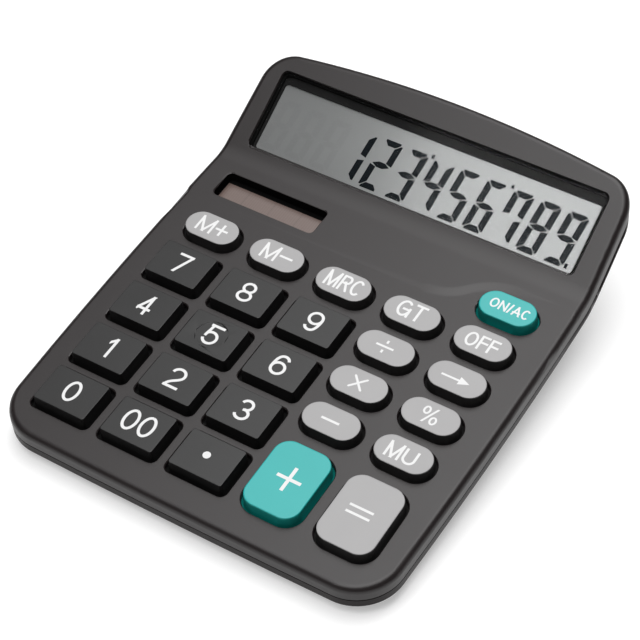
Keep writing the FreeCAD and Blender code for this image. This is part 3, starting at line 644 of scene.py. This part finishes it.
# a curve from the first point to the last, drawn towards the two between them
def swing(*corners):
    steps = legendInk["arcSteps"]
    curve = []
    for step in range(steps + 1):
        share = step / steps
        weights = ((1 - share) ** 3, 3 * share * (1 - share) ** 2, 3 * share**2 * (1 - share), share**3)
        curve.append(tuple(sum(w * corner[axis] for w, corner in zip(weights, corners)) for axis in (0, 1)))
    return curve


def ring(centre, radii):
    return arc(centre, radii, 90, 450)


def turned(strokes):
    return [[(1 - x, 1 - y) for x, y in stroke] for stroke in strokes]


# each glyph: its width by its height, and the middle lines of its strokes in a box of 1 by 1
six = [
    ring((0.5, 0.31), (0.5, 0.31)),
    arc((0.52, 0.76), (0.42, 0.24), 12, 90) + swing((0.52, 1), (0.12, 1), (0, 0.7), (0, 0.31))[1:],
]
glyphs = {
    "0": (0.64, [ring((0.5, 0.5), (0.5, 0.5))]),
    "1": (0.29, [[(1, 0), (1, 1)], [(1, 1), (0, 0.8)]]),
    "2": (0.66, [
        arc((0.5, 0.71), (0.5, 0.29), 172, -18)
        + swing((0.976, 0.62), (0.85, 0.4), (0.12, 0.3), (0.02, 0))[1:],
        [(0, 0), (1, 0)],
    ]),
    "3": (0.63, [
        arc((0.48, 0.75), (0.45, 0.25), 165, -90) + [(0.36, 0.5)],
        arc((0.48, 0.26), (0.52, 0.26), 90, -165),
    ]),
    "4": (0.59, [[(0.72, 0), (0.72, 1)], [(0, 0.27), (1, 0.27)], [(0, 0.27), (0.72, 1)]]),
    "5": (0.66, [
        [(0.2, 1), (0.92, 1)],
        [(0.2, 1), (0.07, 0.47)],
        arc((0.48, 0.32), (0.52, 0.32), 148, -162),
    ]),
    "6": (0.67, six),
    "7": (0.66, [[(0, 1), (1, 1)], [(1, 1), (0.3, 0)]]),
    "8": (0.67, [ring((0.5, 0.75), (0.43, 0.25)), ring((0.5, 0.26), (0.5, 0.26))]),
    "9": (0.67, turned(six)),
    "M": (0.84, [[(0, 0), (0, 1)], [(1, 0), (1, 1)], [(0, 1), (0.5, 0)], [(1, 1), (0.5, 0)]]),
    "R": (0.68, [
        [(0, 0), (0, 1)],
        [(0, 1), (0.6, 1)] + arc((0.6, 0.755), (0.38, 0.245), 90, -90)[1:] + [(0, 0.51)],
        [(0.55, 0.51), (1, 0)],
    ]),
    "C": (0.72, [arc((0.5, 0.5), (0.5, 0.5), 42, 318)]),
    "G": (0.78, [arc((0.5, 0.5), (0.5, 0.5), 42, 340), [(1, 0.05), (1, 0.46)], [(0.58, 0.46), (1, 0.46)]]),
    "T": (0.68, [[(0, 1), (1, 1)], [(0.5, 0), (0.5, 1)]]),
    "O": (0.8, [ring((0.5, 0.5), (0.5, 0.5))]),
    "F": (0.6, [[(0, 0), (0, 1)], [(0, 1), (1, 1)], [(0, 0.52), (0.86, 0.52)]]),
    "N": (0.76, [[(0, 0), (0, 1)], [(1, 0), (1, 1)], [(0, 1), (1, 0)]]),
    "A": (0.78, [[(0, 0), (0.5, 1)], [(1, 0), (0.5, 1)], [(0.16, 0.3), (0.84, 0.3)]]),
    "U": (0.76, [[(0, 1), (0, 0.34)] + arc((0.5, 0.34), (0.5, 0.34), 180, 360)[1:] + [(1, 1)]]),
    "/": (0.34, [[(0, 0), (1, 1)]]),
    "percent": (0.96, [
        ring((0.17, 0.77), (0.17, 0.23)),
        ring((0.83, 0.23), (0.17, 0.23)),
        [(0.26, 0), (0.74, 1)],
    ]),
    "smallPlus": (0.66, [[(0, 0.5), (1, 0.5)], [(0.5, 0.2), (0.5, 0.8)]]),
    "smallMinus": (0.7, [[(0, 0.5), (1, 0.5)]]),
    "plus": (0.91, [[(0, 0.5), (1, 0.5)], [(0.5, 0), (0.5, 1)]]),
    "times": (0.94, [[(0, 0), (1, 1)], [(0, 1), (1, 0)]]),
    "divide": (1.18, [[(0, 0.5), (1, 0.5)], [(0.5, 0), (0.5, 0.02)], [(0.5, 0.98), (0.5, 1)]]),
    "minus": (6.2, [[(0, 0.5), (1, 0.5)]]),
    "equals": (2.3, [[(0, 0), (1, 0)], [(0, 1), (1, 1)]]),
}

# what each key shows: its glyphs, width and height, stroke, and shift from the key's middle, in millimetres
legends = {
    "key_memory_plus": (["M", "smallPlus"], (9.3, 5.4), 0.7, (0.2, 0.3)),
    "key_memory_minus": (["M", "smallMinus"], (9.3, 5.4), 0.7, (0.1, 0.3)),
    "key_memory_recall": (["M", "R", "C"], (10.9, 5.5), 0.68, (0.2, 0.3)),
    "key_grand_total": (["G", "T"], (7.9, 5.6), 0.7, (-0.5, 0.5)),
    "key_off": (["O", "F", "F"], (9.3, 4.8), 0.66, (-0.2, -0.1)),
    "key_on": (["O", "N", "/", "A", "C"], (11.4, 3.3), 0.5, (0.6, 0.1)),
    "key_percent": (["percent"], (5.0, 5.2), 0.55, (-0.2, 0.0)),
    "key_markup": (["M", "U"], (8.4, 5.0), 0.68, (-0.4, -0.1)),
    "key_times": (["times"], (4.0, 4.3), 0.62, (-0.3, 0.1)),
    "key_divide": (["divide"], (5.1, 4.3), 0.62, (-0.4, 0.2)),
    "key_minus": (["minus"], (5.2, 0.7), 0.7, (-0.2, -0.1)),
    "key_plus": (["plus"], (6.9, 7.6), 0.95, (0.4, 0.1)),
    "key_equals": (["equals"], (6.7, 2.8), 0.7, (-0.5, 0.3)),
}
for node in digitKeys[:11]:
    figures = list(node[4:])
    across = [glyphs[figure][0] + legendInk["letterGap"] for figure in figures]
    across = (sum(across) - legendInk["letterGap"]) * legendInk["digitHeight"]
    legends[node] = (
        figures, (across, legendInk["digitHeight"]), legendInk["digitStroke"], legendInk["digitShift"]
    )


# a flat mark loses what is beyond a line through a spot
def trim(mark, spot, outward):
    openMesh(mark)
    bpy.ops.mesh.bisect(
        plane_co=(spot[0] * mm, spot[1] * mm, 0),
        plane_no=Vector((*outward, 0)).normalized(),
        clear_outer=True,
    )
    closeMesh()


# straight strokes run on past their ends, so that the glyph's box can trim them flush
def drawGlyph(strokes, low, high, stroke):
    pen = bpy.data.curves.new("glyph", "CURVE")
    pen.dimensions = "3D"
    pen.extrude = stroke / 2 * mm
    inner = [(a + stroke / 2, b - stroke / 2) for a, b in zip(low, high)]
    for level, points in enumerate(strokes):
        path = [Vector(a + (b - a) * share for (a, b), share in zip(inner, point)) for point in points]
        if len(path) == 2:
            run = (path[1] - path[0]).normalized() * stroke
            path = [path[0] - run, path[1] + run]
        line = pen.splines.new("POLY")
        line.use_smooth = False
        line.points.add(len(path) - 1)
        for knot, spot in zip(line.points, path):
            knot.co = (spot.x * mm, spot.y * mm, level * legendInk["overlap"], 1)
            knot.tilt = math.pi / 2
    glyph = bpy.data.objects.new("glyph", pen)
    bpy.context.scene.collection.objects.link(glyph)
    pick(glyph)
    bpy.ops.object.convert(target="MESH")
    for spot, outward in ((low, (-1, 0)), (low, (0, -1)), (high, (1, 0)), (high, (0, 1))):
        trim(glyph, spot, outward)
    return glyph


def writeLegend(words, size, stroke):
    wide, high = size
    gap = legendInk["letterGap"]
    natural = sum(glyphs[word][0] for word in words) + gap * (len(words) - 1)
    unit = wide / natural
    left = -wide / 2
    drawn = []
    for word in words:
        span, strokes = glyphs[word]
        drawn.append(drawGlyph(strokes, (left, -high / 2), (left + span * unit, high / 2), stroke))
        left += (span + gap) * unit
    return joinPieces(drawn, "legend")


# a flat mark gets its thickness and goes on the surface below the key's middle
def printOn(mark, node, shift):
    applyModifier(mark, "SOLIDIFY", thickness=legendInk["thickness"], offset=0)
    place = topFace(node)
    above = place @ Vector((0, 0, mm))
    down = place.to_3x3() @ Vector((0, 0, -1))
    place.translation = keySkins[node].ray_cast(above, down)[1]
    mark.data.transform(place @ Matrix.Translation((shift[0] * mm, shift[1] * mm, 0)))
    mark.name = "legend_" + node[4:]
    settle(mark, node, inkMaterial)


for node, (words, size, stroke, shift) in legends.items():
    printOn(writeLegend(words, size, stroke), node, shift)

# arrow: a shaft with a head, which starts as a triangle 1.5 long and the root of 3 wide
arrow = {"length": 8.1, "shaft": 0.6, "headLength": 3.0, "headWidth": 2.6, "shift": (-0.35, -0.25)}
deselectAll()
bpy.ops.mesh.primitive_plane_add(size=1)
shaft = bpy.context.object
shaft.scale = ((arrow["length"] - arrow["headLength"]) * mm, arrow["shaft"] * mm, 1)
shaft.location.x = -arrow["headLength"] / 2 * mm
applyPlace(shaft)
deselectAll()
bpy.ops.mesh.primitive_circle_add(vertices=3, radius=1, fill_type="NGON")
head = bpy.context.object
head.rotation_euler.z = -math.pi / 2
applyPlace(head)
head.scale = (arrow["headLength"] / 1.5 * mm, arrow["headWidth"] / math.sqrt(3) * mm, 1)
head.location.x = (arrow["length"] / 2 - arrow["headLength"] * 2 / 3) * mm
applyPlace(head)
printOn(joinPieces([shaft, head], "arrow"), "key_backspace", arrow["shift"])

# decimal point: a round dot
dot = {"diameter": 2.15, "corners": 32, "shift": (-0.4, 0.4)}
deselectAll()
bpy.ops.mesh.primitive_circle_add(
    vertices=dot["corners"], radius=dot["diameter"] / 2 * mm, fill_type="NGON"
)
printOn(bpy.context.object, "key_point", dot["shift"])
print("legends printed:", len(legends) + 2)


# display: glass, ink segments, surround and window

glassLook = {
    "dark": (0.236, 0.242, 0.241, 1),
    "light": (0.256, 0.262, 0.261, 1),
    "cloudScale": 25.0,
    "roughness": 0.17,
    "mirror": 0.31,
}
lcdGlass, lcdShader, lcdSpots = startMaterial(
    "lcdGlass", Metallic=glassLook["mirror"], Roughness=glassLook["roughness"]
)
lcdCloud = lcdSpots.noise(glassLook["cloudScale"])
feed(lcdShader, Base_Color=lcdCloud.mix(glassLook["dark"], glassLook["light"]))
wear(cadNodes["lcd_panel"], lcdGlass)

digitInk = {
    "pitch": 8.21,
    "width": 6.2,
    "height": 15.35,
    "post": 1.95,
    "beam": 1.75,
    "gap": 0.22,
    "nick": 0.4,
    "blunt": 0.75,
    "beamSlope": 2,
    "postSlope": 4,
    "slant": 5.2,
    "firstLeft": -49.55,
    "baseline": -9.42,
    "thickness": 0.02 * mm,
    "shown": "   123456789",
    "tick": (0.9, 1.15),
    "tickSpots": ((0.1, 5.95), (24.75, 6.2)),
    "dot": (0.95, 1.4),
    "dotSpot": (47.8, -8.65),
}
segmentsOf = {
    "1": "upperRight lowerRight",
    "2": "top upperRight middle lowerLeft bottom",
    "3": "top upperRight middle lowerRight bottom",
    "4": "upperLeft middle upperRight lowerRight",
    "5": "top upperLeft middle lowerRight bottom",
    "6": "top upperLeft middle lowerLeft lowerRight bottom",
    "7": "upperLeft top upperRight lowerRight",
    "8": "top upperLeft upperRight middle lowerLeft lowerRight bottom",
    "9": "top upperLeft upperRight middle lowerRight bottom",
}


def inkBar(low, high, cuts=()):
    deselectAll()
    middle = [(a + b) / 2 * mm for a, b in zip(low, high)]
    bpy.ops.mesh.primitive_plane_add(size=1, location=(*middle, 0))
    bar = bpy.context.object
    bar.scale = ((high[0] - low[0]) * mm, (high[1] - low[1]) * mm, 1)
    applyPlace(bar)
    for spot, outward in cuts:
        trim(bar, spot, outward)
    return bar


def makeSegments():
    wide, high, post, beam, nick, blunt = (
        digitInk[name] for name in ("width", "height", "post", "beam", "nick", "blunt")
    )
    half = high / 2
    slit = digitInk["gap"] / math.sqrt(2)
    corner = {"left": (0, 1), "right": (wide, -1)}
    made = {}
    # the mitres run in from the outer corners
    for name, low, top in (("bottom", 0, 1), ("top", high, -1)):
        ends = [0, beam] if name == "bottom" else [high - beam, high]
        cuts = [((edge + inward * slit, low), (-inward, top)) for edge, inward in corner.values()]
        made[name] = inkBar((blunt, ends[0]), (wide - blunt, ends[1]), cuts)
    made["middle"] = inkBar((0, half - beam / 2), (wide, half + beam / 2), [
        ((edge + inward * nick, half), (-inward, rise * digitInk["beamSlope"]))
        for edge, inward in corner.values() for rise in (1, -1)
    ])
    for side, (edge, inward) in corner.items():
        inner = edge + inward * post
        columns = (min(edge, inner), max(edge, inner))
        for level, end, rise in (("upper", high, 1), ("lower", 0, -1)):
            lowEnd, highEnd = sorted((half, end - rise * blunt))
            made[level + side.capitalize()] = inkBar((columns[0], lowEnd), (columns[1], highEnd), [
                ((edge, end - rise * slit), (inward, rise)),
                ((edge, half + rise * nick), (inward, -rise * digitInk["postSlope"])),
            ])
    return made


segmentBars = makeSegments()
lean = Matrix.Identity(4)
lean[0][1] = math.tan(math.radians(digitInk["slant"]))


def writeDigit(character, place):
    bars = []
    for segment in segmentsOf[character].split():
        bar = segmentBars[segment].copy()
        bar.data = bar.data.copy()
        bpy.context.scene.collection.objects.link(bar)
        bars.append(bar)
    digit = joinPieces(bars, "digit")
    spot = ((digitInk["firstLeft"] + place * digitInk["pitch"]) * mm, digitInk["baseline"] * mm, 0)
    digit.data.transform(Matrix.Translation(spot) @ lean)
    return digit


def layInk(marks, name, ink):
    sheet = joinPieces(marks, name)
    applyModifier(sheet, "SOLIDIFY", thickness=digitInk["thickness"], offset=0)
    sheet.data.transform(lcdFace)
    settle(sheet, "casing", ink)


def inkDot(size, spot):
    return inkBar([s - d / 2 for s, d in zip(spot, size)], [s + d / 2 for s, d in zip(spot, size)])


segmentLook = {
    "dark": (0.004, 0.006, 0.008, 1),
    "light": (0.007, 0.009, 0.011, 1),
    "cloudScale": 300.0,
    "roughness": 0.12,
    "shine": 0.04,
}
restingLook = {"dark": grey(0.01), "light": grey(0.02), "cloudScale": 300.0, "roughness": 0.4, "alpha": 0.02}
digitBlack, digitShader, digitSpots = startMaterial(
    "segmentInk", Roughness=segmentLook["roughness"], Specular_IOR_Level=segmentLook["shine"]
)
ghostGrey, ghostShader, ghostSpots = startMaterial(
    "restingSegment", Roughness=restingLook["roughness"], Alpha=restingLook["alpha"]
)
for shader, spots, look in ((digitShader, digitSpots, segmentLook), (ghostShader, ghostSpots, restingLook)):
    feed(shader, Base_Color=spots.noise(look["cloudScale"]).mix(look["dark"], look["light"]))

shown = [
    writeDigit(character, place)
    for place, character in enumerate(digitInk["shown"]) if character != " "
]
shown += [inkDot(digitInk["tick"], spot) for spot in digitInk["tickSpots"]]
shown.append(inkDot(digitInk["dot"], digitInk["dotSpot"]))
layInk(shown, "display_digits", digitBlack)
resting = [place for place, character in enumerate(digitInk["shown"]) if character == " "]
layInk([writeDigit("8", place) for place in resting], "display_resting", ghostGrey)
for bar in segmentBars.values():
    bpy.data.objects.remove(bar)

surroundLook = {
    "dark": grey(0.006),
    "light": grey(0.009),
    "cloudScale": 80.0,
    "grainScale": 2500.0,
    "grainDepth": 0.01 * mm,
    "roughness": (0.65, 0.75),
    "shine": 0.1,
}
wear(cadNodes["lcd_frame"], plastic("surroundPlastic", surroundLook))

windowLook = {
    "tint": grey(0.02),
    "alpha": 0.05,
    "ior": 1.49,
    "roughness": (0.04, 0.1),
    "cloudScale": 35.0,
    "cloudDetail": 4.0,
    "shrink": 0.02 * mm,
}
windowAcrylic, windowShader, windowSpots = startMaterial(
    "windowAcrylic", IOR=windowLook["ior"], Alpha=windowLook["alpha"], Base_Color=windowLook["tint"]
)
windowLow, windowHigh = windowLook["roughness"]
windowCloud = windowSpots.noise(windowLook["cloudScale"], windowLook["cloudDetail"])
feed(windowShader, Roughness=windowLow + (windowHigh - windowLow) * windowCloud)
windowSkin = smoothCopy("display_window", windowAcrylic)
openMesh(windowSkin)
bpy.ops.transform.shrink_fatten(value=-windowLook["shrink"])
closeMesh()
print("display dressed")


# solar cell: four strips of thin film, with narrow lines between them

solarLook = {
    "strips": 4,
    "line": 0.012,
    "film": (0.105, 0.071, 0.061, 1),
    "filmLight": (0.13, 0.091, 0.079, 1),
    "gap": (0.05, 0.036, 0.03, 1),
    "borderAndShadow": (-16.0 * mm, 3.2 * mm),
    "roughness": 0.35,
    "coat": 0.4,
    "coatRoughness": 0.1,
    "cloudScale": 120.0,
    "ribShare": 0.6,
    "ribs": {"Scale": 1300 / 3, "Distortion": 0.6, "Detail": 2.0},
}
solarFilm, solarShader, solarSpots = startMaterial(
    "solarFilm",
    Roughness=solarLook["roughness"],
    Coat_Weight=solarLook["coat"],
    Coat_Roughness=solarLook["coatRoughness"],
)
solarLow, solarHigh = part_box("solar_cell")
stripWidth = (solarHigh.x - solarLow.x) / solarLook["strips"]
stripSpot = solarSpots.along((1 / stripWidth, 0, 0)) - solarLow.x / stripWidth
inStrip = stripSpot.node("ShaderNodeMath", {"operation": "FRACT"}, {0: stripSpot})
filmLine = inStrip < solarLook["line"]
ribSockets = {"Vector": solarSpots} | solarLook["ribs"]
rib = solarSpots.node("ShaderNodeTexWave", {"wave_type": "BANDS"}, ribSockets)
filmCloud = (1 - solarLook["ribShare"]) * solarSpots.noise(solarLook["cloudScale"])
film = (solarLook["ribShare"] * rib + filmCloud).mix(solarLook["film"], solarLook["filmLight"])
# the cell's left and back edges are dull black: partly its printed border, partly painted shadow cast by the
# recess wall
filmSide, filmRise = spotOn(solarSpots, topFace("solar_cell"))[:2]
leftBorderShadow, backBorderShadow = solarLook["borderAndShadow"]
feed(solarShader, Base_Color=filmLine.mix(film, solarLook["gap"]))
paintShadeWhere(solarFilm, 1 - (filmSide > leftBorderShadow) * (filmRise < backBorderShadow))
wear(cadNodes["solar_cell"], solarFilm)


# feet, screws, cell and what is inside

metalLook = {"streakDetail": 4.0}


def metal(name, look):
    material, shader, spots = startMaterial(name, Metallic=1.0)
    streak = spots.noise(look["streakScale"], metalLook["streakDetail"])
    low, high = look["roughness"]
    feed(
        shader,
        Base_Color=streak.mix(look["dark"], look["light"]),
        Roughness=low + (high - low) * streak,
        Normal=streak.bump(look["streakDepth"]),
    )
    return material


insideLooks = {
    "rubber_feet": ("footRubber", {
        "dark": grey(0.012), "light": grey(0.02), "cloudScale": 300.0, "grainScale": 1800.0,
        "grainDepth": 0.03 * mm, "roughness": (0.7, 0.85), "shine": 0.3,
    }),
    "keypad_membrane": ("membraneSilicone", {
        "dark": grey(0.36), "light": grey(0.42), "cloudScale": 120.0, "grainScale": 1500.0,
        "grainDepth": 0.01 * mm, "roughness": (0.5, 0.6),
    }),
    "main_board": ("boardLaminate", {
        "dark": (0.3, 0.17, 0.06, 1), "light": (0.4, 0.25, 0.1, 1), "cloudScale": 500.0,
        "grainScale": 4000.0, "grainDepth": 0.01 * mm, "roughness": (0.45, 0.6),
    }),
    "board_chip": ("chipEpoxy", {
        "dark": grey(0.006), "light": grey(0.012), "cloudScale": 400.0, "grainScale": 900.0,
        "grainDepth": 0.02 * mm, "roughness": (0.18, 0.3),
    }),
    "lcd_ribbon": ("ribbonFilm", {
        "dark": (0.03, 0.025, 0.02, 1), "light": (0.05, 0.042, 0.035, 1), "cloudScale": 200.0,
        "grainScale": 2000.0, "grainDepth": 0.01 * mm, "roughness": (0.3, 0.45),
    }),
    "battery_cell": ("cellSleeve", {
        "dark": (0.035, 0.04, 0.046, 1), "light": (0.045, 0.05, 0.056, 1), "cloudScale": 150.0,
        "grainScale": 2500.0, "grainDepth": 0.005 * mm, "roughness": (0.25, 0.35),
    }),
}
for node, (name, look) in insideLooks.items():
    wear(cadNodes[node], plastic(name, look))

steel = metal("screwSteel", {
    "dark": grey(0.42), "light": grey(0.6), "streakScale": 1500.0,
    "streakDepth": 0.005 * mm, "roughness": (0.25, 0.42),
})
nickel = metal("contactNickel", {
    "dark": (0.6, 0.58, 0.53, 1), "light": (0.72, 0.7, 0.66, 1), "streakScale": 900.0,
    "streakDepth": 0.004 * mm, "roughness": (0.18, 0.3),
})
copper = metal("leadCopper", {
    "dark": (0.6, 0.3, 0.17, 1), "light": (0.75, 0.42, 0.27, 1), "streakScale": 1200.0,
    "streakDepth": 0.004 * mm, "roughness": (0.22, 0.35),
})
for node, finish in {
    "casing_screws": steel,
    "board_screws": steel,
    "battery_positive": nickel,
    "battery_negative": nickel,
    "solar_leads": copper,
}.items():
    wear(cadNodes[node], finish)
print("feet, screws and inside dressed")
